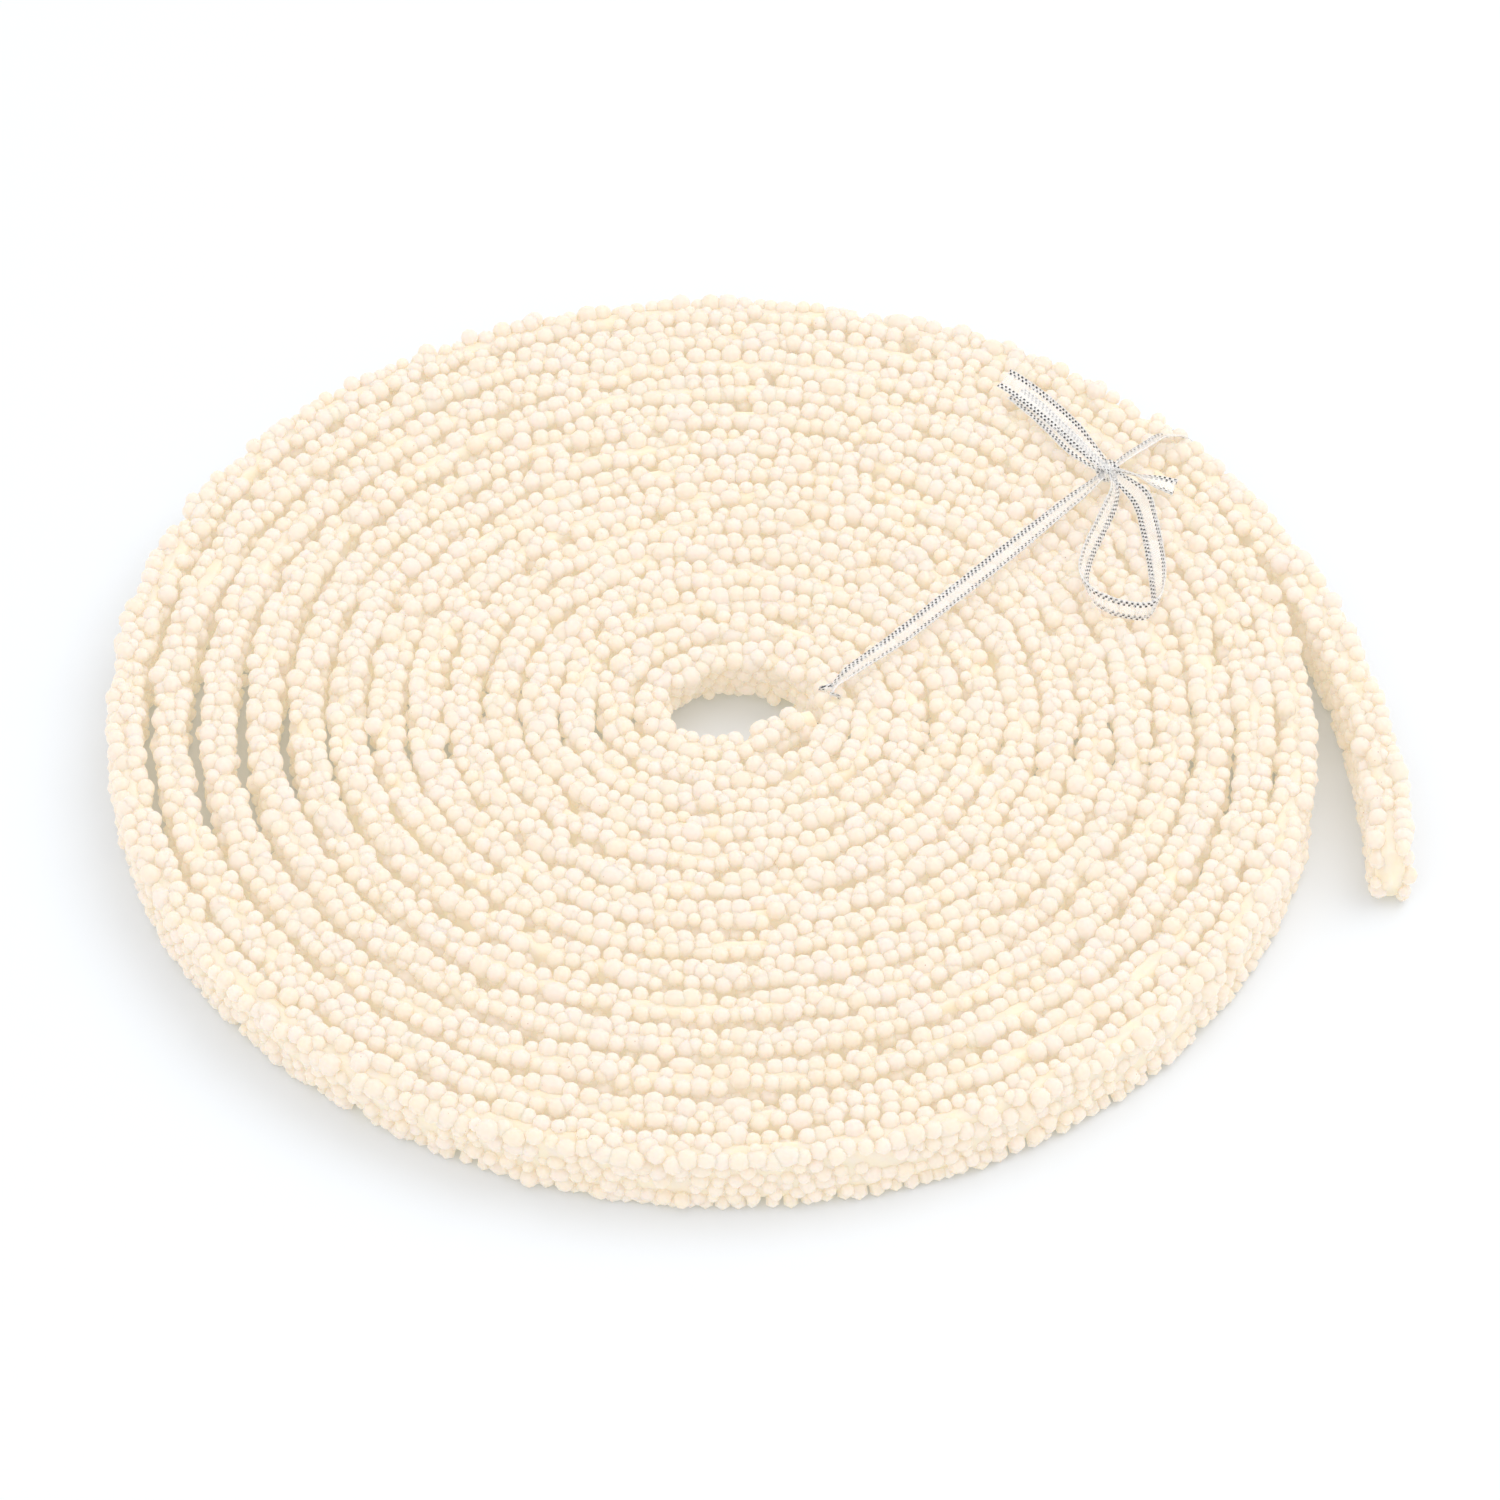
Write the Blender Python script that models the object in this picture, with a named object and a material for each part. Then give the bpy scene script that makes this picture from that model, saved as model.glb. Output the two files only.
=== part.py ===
"""A beaded garland wound into a flat coil, tied with a narrow ribbon. Metres, +Z up.

The band stands on its edge. Its centre line is a spiral whose radius is read from
one row of four radii for each turn, so the coil is as uneven as the real one.
"""

import math

import bmesh
import bpy
import numpy as np
from mathutils import Vector

# The beaded band
BAND_HEIGHT = 0.0100
BAND_WIDTH_INSIDE = 0.0040
BAND_WIDTH_OUTSIDE = 0.0047
BAND_WIDTH_TAIL = 0.0051
BAND_CORNER = 0.0012
FIRST_COIL_TURN = 0.25
LAST_COIL_TURN = 13.75
START_TURNS = 0.23
TAIL_TURNS = 0.24
WIDTH_BY_TURN = (
    (1.0, BAND_WIDTH_INSIDE),
    (9.0, BAND_WIDTH_INSIDE + 0.0002),
    (12.75, BAND_WIDTH_OUTSIDE),
    (13.80, BAND_WIDTH_OUTSIDE),
    (13.88, BAND_WIDTH_TAIL),
)

# Radius of the centre line in each turn, at the four quarters of the turn, clockwise from above
TURN_COLUMNS = ("right", "front", "left", "back")
TURN_RADII = (
    (0.00985, 0.00665, 0.0088, 0.0093),
    (0.0145, 0.01125, 0.0135, 0.0145),
    (0.0191, 0.0159, 0.0182, 0.0195),
    (0.0237, 0.0206, 0.0229, 0.0245),
    (0.0283, 0.0254, 0.0276, 0.0294),
    (0.0330, 0.0303, 0.0324, 0.0343),
    (0.0376, 0.0352, 0.0372, 0.0392),
    (0.0422, 0.0402, 0.0420, 0.0441),
    (0.0469, 0.0453, 0.0469, 0.0492),
    (0.0516, 0.0506, 0.0520, 0.0544),
    (0.0564, 0.0561, 0.0574, 0.0596),
    (0.0614, 0.0619, 0.0631, 0.0646),
    (0.0667, 0.0679, 0.0689, 0.0696),
    (0.07175, 0.0732, 0.0744, 0.0748),
)
RADIUS_BEFORE = 0.0120
RADIUS_AFTER = 0.0751

# The inner end lies across the eye: x, y of the centre line, from the end to where the coil begins
START_ROUTE = (
    (0.0106, -0.0013),
    (0.0087, -0.0021),
    (0.0069, -0.0033),
    (0.0049, -0.0050),
    (0.0026, -0.0063),
)

# The loose tail, from where it leaves the coil to its end: x, y of the centre line
TAIL_ROUTE = (
    (0.0106, 0.0742),
    (0.0208, 0.0720),
    (0.0306, 0.0685),
    (0.0399, 0.0640),
    (0.0484, 0.0580),
    (0.0563, 0.0512),
    (0.0629, 0.0432),
    (0.0686, 0.0344),
    (0.0734, 0.0252),
    (0.0771, 0.0155),
    (0.0798, 0.0054),
    (0.0814, -0.0049),
    (0.0822, -0.0153),
    (0.0822, -0.0257),
)

# The coil bulges at the back left: its outermost radius grows by so much, around this bearing
BULGE = 0.0013
BULGE_AT_RADIUS = 0.075
BULGE_BEARING = math.radians(215)
BULGE_HALF_ARC = math.radians(50)

# The inner turns lean over towards the eye at its back, and the outer ones lean outward at the front
# left. Each lean goes from one radius, where it is full, to another, where it is nothing.
LEAN_COLUMNS = ("angle", "full at radius", "nothing at radius", "bearing", "half arc")
LEANS = (
    (math.radians(25), 0.009, 0.061, math.radians(262), math.radians(95)),
    (math.radians(-10), 0.0735, 0.060, math.radians(125), math.radians(62)),
)

# Steps of the mesh: turns up to this number take this many stations each
STATION_STEPS = ((3.0, 20), (8.0, 30), (99.0, 48))
START_STATIONS = 6
TAIL_STATIONS = 14
END_ROUNDING = ((0.0000, 0.55), (0.0005, 0.82), (0.0014, 0.96))

# The ribbon
RIBBON_WIDTH = 0.0030
RIBBON_THICKNESS = 0.0010
CLEARANCE = 0.0003
TIE_INNER = Vector((0.0103, 0.0018, 0.0))
TIE_OUTER = Vector((0.0607, 0.0515, 0.0))
TIE_BEND = 0.0009
TIE_BEND_STEPS = 4
TIE_FLOOR_GAP = 0.00015
GROOVE_SIDE_GAP = 0.0005
KNOT_CENTRE = Vector((0.0509, 0.0407, 0.01165))
KNOT_SIZE = Vector((0.0042, 0.0034, 0.0026))

# Each strand of the bow: x, y, z of its middle and the tilt of its width from level, in degrees
STRANDS = {
    "front_loop_left": (
        (0.0516, 0.0398, 0.0120, 45),
        (0.0505, 0.0359, 0.0122, 58),
        (0.0489, 0.0306, 0.0122, 60),
        (0.0470, 0.0250, 0.0121, 60),
        (0.0462, 0.0208, 0.0121, 66),
        (0.0469, 0.0174, 0.0122, 80),
        (0.0492, 0.0155, 0.0122, 90),
        (0.0516, 0.0147, 0.0122, 90),
    ),
    "front_loop_right": (
        (0.0510, 0.0148, 0.0122, 90),
        (0.0534, 0.0145, 0.0122, 90),
        (0.0550, 0.0160, 0.0122, 72),
        (0.0554, 0.0208, 0.0120, 50),
        (0.0552, 0.0259, 0.0119, 46),
        (0.0547, 0.0308, 0.0119, 46),
        (0.0538, 0.0356, 0.0120, 46),
        (0.0522, 0.0394, 0.0120, 40),
    ),
    "back_loop": (
        (0.0506, 0.0412, 0.0119, 30),
        (0.0468, 0.0453, 0.0126, 35),
        (0.0443, 0.0492, 0.0126, 30),
        (0.0415, 0.0533, 0.0125, 20),
        (0.0390, 0.0567, 0.0124, 15),
        (0.0371, 0.0587, 0.0123, 15),
    ),
    "back_end": (
        (0.0500, 0.0410, 0.0115, 5),
        (0.0454, 0.0460, 0.0114, 0),
        (0.0426, 0.0494, 0.0112, 0),
        (0.0398, 0.0530, 0.0112, 0),
        (0.0374, 0.0562, 0.0112, 0),
    ),
    "side_end": (
        (0.0512, 0.0407, 0.0120, 30),
        (0.0536, 0.0394, 0.0122, 25),
        (0.0559, 0.0385, 0.0120, 10),
        (0.0583, 0.0378, 0.0117, 0),
    ),
}
STRAND_STEP = 0.0014


def clear_scene():
    """Removes what the scene holds, so that only the garland is left in it."""
    for obj in list(bpy.data.objects):
        bpy.data.objects.remove(obj)


def material(name, colour, roughness, metallic):
    """A plain material with one Principled shader."""
    made = bpy.data.materials.new(name)
    made.use_nodes = True
    shader = made.node_tree.nodes["Principled BSDF"]
    shader.inputs["Base Color"].default_value = (*colour, 1.0)
    shader.inputs["Roughness"].default_value = roughness
    shader.inputs["Metallic"].default_value = metallic
    made.diffuse_color = (*colour, 1.0)
    return made


def through(values, place):
    """A smooth curve through evenly spaced rows of values, read at place, counted in rows."""
    values = np.asarray(values, float)
    place = np.clip(np.atleast_1d(place), 1.0, len(values) - 2.0 - 1e-9)
    row = place.astype(int)
    part = place - row
    before, first, second, after = (values[row + step] for step in (-1, 0, 1, 2))
    if values.ndim > 1:
        part = part[:, None]
    slope_in = (second - before) / 2
    slope_out = (after - first) / 2
    rest = second - first
    return (
        first
        + slope_in * part
        + (3 * rest - 2 * slope_in - slope_out) * part**2
        + (slope_in + slope_out - 2 * rest) * part**3
    )


def coil_radius(turns):
    """Radius of the centre line after so many turns from the right-hand side."""
    rows = [RADIUS_BEFORE, *np.ravel(TURN_RADII), RADIUS_AFTER]
    return through(rows, 1.0 + len(TURN_COLUMNS) * np.asarray(turns, float))


def window(bearing, middle, half_arc):
    """One at the middle bearing, falling smoothly to nothing at half_arc on either side of it."""
    away = np.abs((bearing - middle + math.pi) % (2 * math.pi) - math.pi)
    return np.cos(np.clip(away / half_arc, 0, 1) * math.pi / 2) ** 2


def on_the_coil(turns):
    """Points of the centre line, clockwise as seen from above."""
    bearing = 2 * math.pi * np.asarray(turns, float)
    radius = coil_radius(turns)
    bulge = BULGE * (radius / BULGE_AT_RADIUS) ** 3
    radius = radius + bulge * window(bearing, BULGE_BEARING, BULGE_HALF_ARC)
    return np.stack([radius * np.cos(bearing), -radius * np.sin(bearing)], axis=1)


def coil_turns():
    """How many turns each station of the coil lies from the right-hand side."""
    found = [FIRST_COIL_TURN]
    for last_turn, steps in STATION_STEPS:
        while found[-1] < min(last_turn, LAST_COIL_TURN) - 0.5 / steps:
            found.append((math.floor(found[-1] * steps + 0.5) + 1) / steps)
    return np.array(found)


def loose_end(route, joined, stations):
    """Stations along a route that runs on smoothly from the three joined points, the last of them left out."""
    route = np.vstack([joined, route, 2 * np.array(route[-1]) - route[-2]])
    return through(route, np.linspace(2.0, len(route) - 2.0, stations + 1)[1:])


def centre_line():
    """Stations of the band from its inner end to the end of the tail, and each one's turn."""
    turns = coil_turns()
    coil = on_the_coil(turns)
    start = loose_end(START_ROUTE[::-1], coil[2::-1], START_STATIONS)[::-1]
    tail = loose_end(TAIL_ROUTE, coil[-3:], TAIL_STATIONS)
    start_turns = turns[0] - START_TURNS * np.arange(len(start), 0, -1) / len(start)
    tail_turns = turns[-1] + TAIL_TURNS * np.arange(1, len(tail) + 1) / len(tail)
    return np.vstack([start, coil, tail]), np.concatenate([start_turns, turns, tail_turns])


def band_width(turns):
    """The band is a little thinner where it is wound tightest, and fullest in the tail."""
    table = np.array(WIDTH_BY_TURN)
    return np.interp(turns, table[:, 0], table[:, 1])


def lean(points):
    """How far the band leans over at each station, in radians, positive towards the eye."""
    radius = np.hypot(points[:, 0], points[:, 1])
    bearing = np.arctan2(-points[:, 1], points[:, 0])
    total = np.zeros(len(points))
    for angle, full_at, nothing_at, middle, half_arc in LEANS:
        by_radius = np.clip((radius - nothing_at) / (full_at - nothing_at), 0, 1)
        total += angle * by_radius * window(bearing, middle, half_arc)
    return total


def outward_from(points):
    """The level direction square to the line at each point, to the left of its travel."""
    travel = np.gradient(points, axis=0)
    travel /= np.linalg.norm(travel, axis=1)[:, None]
    return np.stack([-travel[:, 1], travel[:, 0]], axis=1)


def with_round_ends(points, turns):
    """Adds stations close to both ends, and gives each station the share of the section it has."""
    ends = []
    for near, far in ((points[0], points[1]), (points[-1], points[-2])):
        inward = (far - near) / np.linalg.norm(far - near)
        ends.append(np.array([near + inward * back for back, _ in END_ROUNDING]))
    shares = np.array([share for _, share in END_ROUNDING])
    points = np.vstack([ends[0], points[1:-1], ends[1][::-1]])
    turns = np.concatenate([[turns[0]] * len(shares), turns[1:-1], [turns[-1]] * len(shares)])
    scale = np.concatenate([shares, np.ones(len(turns) - 2 * len(shares)), shares[::-1]])
    return points, turns, scale


def band_section(width):
    """Corners of the band's section: across and up from the middle, for a width of one or more stations."""
    half = np.asarray(width) / 2
    top = BAND_HEIGHT / 2
    cut = BAND_CORNER
    flat = half - cut
    across = np.stack([half, half, flat, -flat, -half, -half, -flat, flat], axis=1)
    up = np.array([cut - top, top - cut, top, top, top - cut, cut - top, -top, -top])
    return across, np.broadcast_to(up, across.shape)


def swept_mesh(name, rings):
    """A closed tube through rings of points, with flat ends."""
    count, corners = rings.shape[:2]
    faces = [
        (
            ring * corners + corner,
            (ring + 1) * corners + corner,
            (ring + 1) * corners + (corner + 1) % corners,
            ring * corners + (corner + 1) % corners,
        )
        for ring in range(count - 1)
        for corner in range(corners)
    ]
    faces.append(tuple(range(corners)))
    faces.append(tuple((count - 1) * corners + corner for corner in reversed(range(corners))))
    mesh = bpy.data.meshes.new(name)
    mesh.from_pydata(rings.reshape(-1, 3).tolist(), [], faces)
    shape = bmesh.new()
    shape.from_mesh(mesh)
    bmesh.ops.recalc_face_normals(shape, faces=shape.faces)
    shape.to_mesh(mesh)
    shape.free()
    return mesh


def new_object(name, mesh, look):
    """An object in the scene that shows the mesh in one material."""
    obj = bpy.data.objects.new(name, mesh)
    obj.data.materials.append(look)
    bpy.context.scene.collection.objects.link(obj)
    return obj


def make_band(look):
    """The beaded band: a rounded upright section carried along the spiral and out along the tail.

    Where it leans, its top stays on the centre line and its foot moves.
    """
    points, turns = centre_line()
    points, turns, scale = with_round_ends(points, turns)
    outward = outward_from(points)
    tilt = lean(points)
    across, up = band_section(band_width(turns))
    across = across * scale[:, None]
    up = up * scale[:, None]
    foot = BAND_HEIGHT / 2 * np.sin(tilt)[:, None]
    sideways = foot + across * np.cos(tilt)[:, None] - up * np.sin(tilt)[:, None]
    height = across * np.sin(tilt)[:, None] + up * np.cos(tilt)[:, None]
    height = np.clip(height, -BAND_HEIGHT / 2, BAND_HEIGHT / 2) + BAND_HEIGHT / 2
    rings = np.empty((len(points), across.shape[1], 3))
    rings[:, :, :2] = points[:, None, :] + outward[:, None, :] * sideways[:, :, None]
    rings[:, :, 2] = height
    band = new_object("bead_band", swept_mesh("bead_band", rings), look)
    band.data.shade_smooth()
    band.data.set_sharp_from_angle(angle=math.radians(35))
    return band


def tie_direction():
    """The level direction in which the ribbon crosses the coil, from the eye to the rim."""
    return (TIE_OUTER - TIE_INNER).normalized()


def cut_groove(band):
    """Cuts the shallow channel under the coil in which the ribbon lies, clear of what it stands on."""
    roof = TIE_FLOOR_GAP + RIBBON_THICKNESS + CLEARANCE
    depth = 2 * roof
    length = (TIE_OUTER - TIE_INNER).length
    shape = bmesh.new()
    bmesh.ops.create_cube(shape, size=1.0)
    size = (length, RIBBON_WIDTH + 2 * GROOVE_SIDE_GAP, depth)
    bmesh.ops.scale(shape, vec=size, verts=shape.verts)
    mesh = bpy.data.meshes.new("groove")
    shape.to_mesh(mesh)
    shape.free()
    cutter = bpy.data.objects.new("groove", mesh)
    bpy.context.scene.collection.objects.link(cutter)
    cutter.location = (TIE_INNER + TIE_OUTER) / 2 + Vector((0, 0, roof - depth / 2))
    cutter.rotation_euler.z = math.atan2(tie_direction().y, tie_direction().x)
    cutter.hide_render = True
    cutter.display_type = "WIRE"
    cut = band.modifiers.new("ribbon groove", "BOOLEAN")
    cut.operation = "DIFFERENCE"
    cut.solver = "EXACT"
    cut.object = cutter


def wrap_mesh():
    """The ribbon's ring round the coil's section: an upright loop with rounded corners."""
    low = TIE_FLOOR_GAP + RIBBON_THICKNESS / 2
    high = BAND_HEIGHT + CLEARANCE + RIBBON_THICKNESS / 2
    length = (TIE_OUTER - TIE_INNER).length
    corners = ((0.0, high, 90), (0.0, low, 180), (length, low, 270), (length, high, 360))
    ring = []
    for along, height, first in corners:
        centre_along = along + TIE_BEND * (1 if along == 0.0 else -1)
        centre_height = height + TIE_BEND * (1 if height == low else -1)
        for step in range(TIE_BEND_STEPS + 1):
            angle = math.radians(first + 90 * step / TIE_BEND_STEPS)
            level = Vector((math.cos(angle), math.sin(angle)))
            ring.append((centre_along, centre_height, level))
    direction = tie_direction()
    side = Vector((-direction.y, direction.x, 0.0))
    vertices = []
    for along, height, level in ring:
        for reach in (TIE_BEND - RIBBON_THICKNESS / 2, TIE_BEND + RIBBON_THICKNESS / 2):
            for lateral in (-RIBBON_WIDTH / 2, RIBBON_WIDTH / 2):
                point = TIE_INNER + direction * (along + level.x * reach) + side * lateral
                vertices.append((point.x, point.y, height + level.y * reach))
    count = len(ring)
    order = (0, 1, 3, 2)
    faces = []
    for step in range(count):
        following = (step + 1) % count
        for edge in range(4):
            first, second = order[edge], order[(edge + 1) % 4]
            faces.append(
                (4 * step + first, 4 * following + first, 4 * following + second, 4 * step + second)
            )
    mesh = bpy.data.meshes.new("wrap")
    mesh.from_pydata(vertices, [], faces)
    shape = bmesh.new()
    shape.from_mesh(mesh)
    bmesh.ops.recalc_face_normals(shape, faces=shape.faces)
    shape.to_mesh(mesh)
    shape.free()
    return mesh


def strand_mesh(name, rows):
    """One run of the bow: the ribbon's flat section carried along a smooth curve, tilted row by row."""
    rows = np.array(rows, float)
    rows = np.vstack([2 * rows[0] - rows[1], rows, 2 * rows[-1] - rows[-2]])
    length = np.linalg.norm(np.diff(rows[1:-1, :3], axis=0), axis=1).sum()
    steps = max(6, int(length / STRAND_STEP))
    line = through(rows, np.linspace(1.0, len(rows) - 2.0, steps + 1))
    points = line[:, :3]
    tilt = np.radians(line[:, 3])[:, None]
    travel = np.gradient(points, axis=0)
    travel /= np.linalg.norm(travel, axis=1)[:, None]
    level = np.cross(travel, (0.0, 0.0, 1.0))
    level /= np.linalg.norm(level, axis=1)[:, None]
    upright = np.cross(level, travel)
    width = level * np.cos(tilt) + upright * np.sin(tilt)
    thickness = np.cross(width, travel)
    rings = np.stack(
        [
            points + width * (across * RIBBON_WIDTH / 2) + thickness * (up * RIBBON_THICKNESS / 2)
            for across, up in ((-1, -1), (1, -1), (1, 1), (-1, 1))
        ],
        axis=1,
    )
    return swept_mesh(name, rings)


def knot_mesh():
    """The knot: a small round lump, longer across the ribbon."""
    shape = bmesh.new()
    bmesh.ops.create_icosphere(shape, subdivisions=2, radius=0.5)
    bmesh.ops.scale(shape, vec=KNOT_SIZE, verts=shape.verts)
    bmesh.ops.translate(shape, vec=KNOT_CENTRE, verts=shape.verts)
    mesh = bpy.data.meshes.new("knot")
    shape.to_mesh(mesh)
    shape.free()
    return mesh


def make_tie(look):
    """The ribbon, one solid: its ring round the coil, joined with the knot, the loops and the ends."""
    tie = new_object("ribbon_tie", wrap_mesh(), look)
    pieces = [("knot", knot_mesh())]
    pieces += [(name, strand_mesh(name, rows)) for name, rows in STRANDS.items()]
    for name, mesh in pieces:
        helper = bpy.data.objects.new(name, mesh)
        bpy.context.scene.collection.objects.link(helper)
        helper.hide_render = True
        helper.display_type = "WIRE"
        join = tie.modifiers.new(name, "BOOLEAN")
        join.operation = "UNION"
        join.solver = "EXACT"
        join.object = helper
    return tie


def centre_on_floor(objects):
    """Moves everything so that the middle of the finished shapes' box is over the origin."""
    bpy.context.view_layer.update()
    graph = bpy.context.evaluated_depsgraph_get()
    corners = []
    for obj in objects:
        solid = obj.evaluated_get(graph)
        corners += [solid.matrix_world @ vertex.co for vertex in solid.data.vertices]
    corners = np.array(corners)
    middle = (corners.min(axis=0) + corners.max(axis=0)) / 2
    for obj in bpy.data.objects:
        obj.location -= Vector((middle[0], middle[1], 0.0))


def main():
    clear_scene()
    ivory = material("ivory beads in resin", (0.86, 0.76, 0.60), 0.4, 0.0)
    silver = material("silver edged ribbon", (0.82, 0.82, 0.82), 0.35, 0.3)
    band = make_band(ivory)
    cut_groove(band)
    tie = make_tie(silver)
    centre_on_floor([band, tie])


main()
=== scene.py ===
"""Looks for the bead garland: its beads, the resin that holds them and the sheer ribbon tied round it.

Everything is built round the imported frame, in metres, and laid out as an add-on: property groups hold
the sizes and colours, one operator makes each group of pieces, and a panel runs them.
"""

import math

import bpy
import numpy as np
from bpy.props import FloatProperty, FloatVectorProperty, IntProperty, PointerProperty
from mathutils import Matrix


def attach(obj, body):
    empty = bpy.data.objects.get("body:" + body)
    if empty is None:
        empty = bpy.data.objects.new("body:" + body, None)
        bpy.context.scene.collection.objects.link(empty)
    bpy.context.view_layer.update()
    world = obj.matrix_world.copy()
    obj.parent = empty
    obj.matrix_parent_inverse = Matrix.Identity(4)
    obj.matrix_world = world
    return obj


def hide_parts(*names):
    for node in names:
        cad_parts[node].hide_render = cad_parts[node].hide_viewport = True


bl_info = {
    "name": "Bead Garland",
    "version": (1, 0, 0),
    "blender": (4, 5, 0),
    "location": "View3D > Sidebar > Garland",
    "description": "A coiled garland of small beads in resin, tied with a sheer ribbon",
    "category": "Add Mesh",
}

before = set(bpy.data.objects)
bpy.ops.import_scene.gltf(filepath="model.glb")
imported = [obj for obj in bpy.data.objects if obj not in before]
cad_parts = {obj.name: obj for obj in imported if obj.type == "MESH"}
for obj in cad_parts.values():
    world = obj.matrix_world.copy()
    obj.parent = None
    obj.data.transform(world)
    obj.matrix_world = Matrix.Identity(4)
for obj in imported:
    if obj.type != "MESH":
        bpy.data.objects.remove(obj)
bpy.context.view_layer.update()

# Where the coil's centre lies in the row frame, the turns between which the coil follows its table of
# radii, and how many turns each loose end counts as
COIL_CENTRE = (-0.003872, -0.000844)
COIL_START = 0.25
COIL_END = 13.75
START_TURNS = 0.23
TAIL_TURNS = 0.24

# Radii of the centre line: a row for each turn, its values a quarter turn apart, and one before and after
TURN_RADII = (
    (0.00985, 0.00665, 0.0088, 0.0093),
    (0.0145, 0.01125, 0.0135, 0.0145),
    (0.0191, 0.0159, 0.0182, 0.0195),
    (0.0237, 0.0206, 0.0229, 0.0245),
    (0.0283, 0.0254, 0.0276, 0.0294),
    (0.0330, 0.0303, 0.0324, 0.0343),
    (0.0376, 0.0352, 0.0372, 0.0392),
    (0.0422, 0.0402, 0.0420, 0.0441),
    (0.0469, 0.0453, 0.0469, 0.0492),
    (0.0516, 0.0506, 0.0520, 0.0544),
    (0.0564, 0.0561, 0.0574, 0.0596),
    (0.0614, 0.0619, 0.0631, 0.0646),
    (0.0667, 0.0679, 0.0689, 0.0696),
    (0.07175, 0.0732, 0.0744, 0.0748),
)
RADIUS_BEFORE = 0.0120
RADIUS_AFTER = 0.0751

# The loose ends, as x and y from the coil's centre: the start from its tip to the coil, the tail from the
# coil to its tip
START_ROUTE = (
    (0.0123, 0.0003),
    (0.0106, -0.0007),
    (0.0087, -0.0016),
    (0.0069, -0.0029),
    (0.0049, -0.0047),
    (0.0026, -0.0062),
)
TAIL_ROUTE = (
    (0.0106, 0.0742),
    (0.0208, 0.0720),
    (0.0306, 0.0685),
    (0.0399, 0.0640),
    (0.0484, 0.0580),
    (0.0563, 0.0512),
    (0.0629, 0.0432),
    (0.0686, 0.0344),
    (0.0734, 0.0252),
    (0.0771, 0.0155),
    (0.0798, 0.0054),
    (0.0814, -0.0049),
    (0.0822, -0.0153),
    (0.0822, -0.0257),
)

# The outermost turns bulge at the back left, and parts of the coil lean over: angle, radius where the lean
# is full, radius where it is nothing, bearing of its middle and half its arc
BULGE = 0.0013
BULGE_AT_RADIUS = 0.075
BULGE_BEARING = math.radians(215)
BULGE_HALF_ARC = math.radians(50)
LEANS = (
    (math.radians(25), 0.009, 0.061, math.radians(262), math.radians(95)),
    (math.radians(-10), 0.0735, 0.060, math.radians(125), math.radians(62)),
)

# The outer turns are squeezed thinner at the left, where the floor shows between them
PINCH = 0.0006
PINCH_BEARING = math.radians(176)
PINCH_HALF_ARC = math.radians(26)
PINCH_FROM_RADIUS = 0.050
PINCH_FULL_AFTER = 0.005

# The turns at which the band's widths hold, and how much wider than the innermost turns the second is
WIDTH_TURNS = (1.0, 9.0, 12.75, 13.80, 13.88)
WIDTH_GAIN = 0.0002

# How finely the centre line is sampled, how many to a turn the points lie that a loose end runs on from,
# and how far to either side the line's direction is measured
START_STATIONS = 100
COIL_STATIONS = 12000
TAIL_STATIONS = 400
START_JOIN = 20
TAIL_JOIN = 48
TRAVEL_REACH = 0.0004

# The resin's section, its rounded ends and the lowest that it comes
RESIN_CORNERS = 20
RESIN_POWER = 3
RESIN_END_LENGTH = 0.0018
RESIN_END_SIZE = 0.08
LOWEST_RESIN = 0.0004

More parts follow.
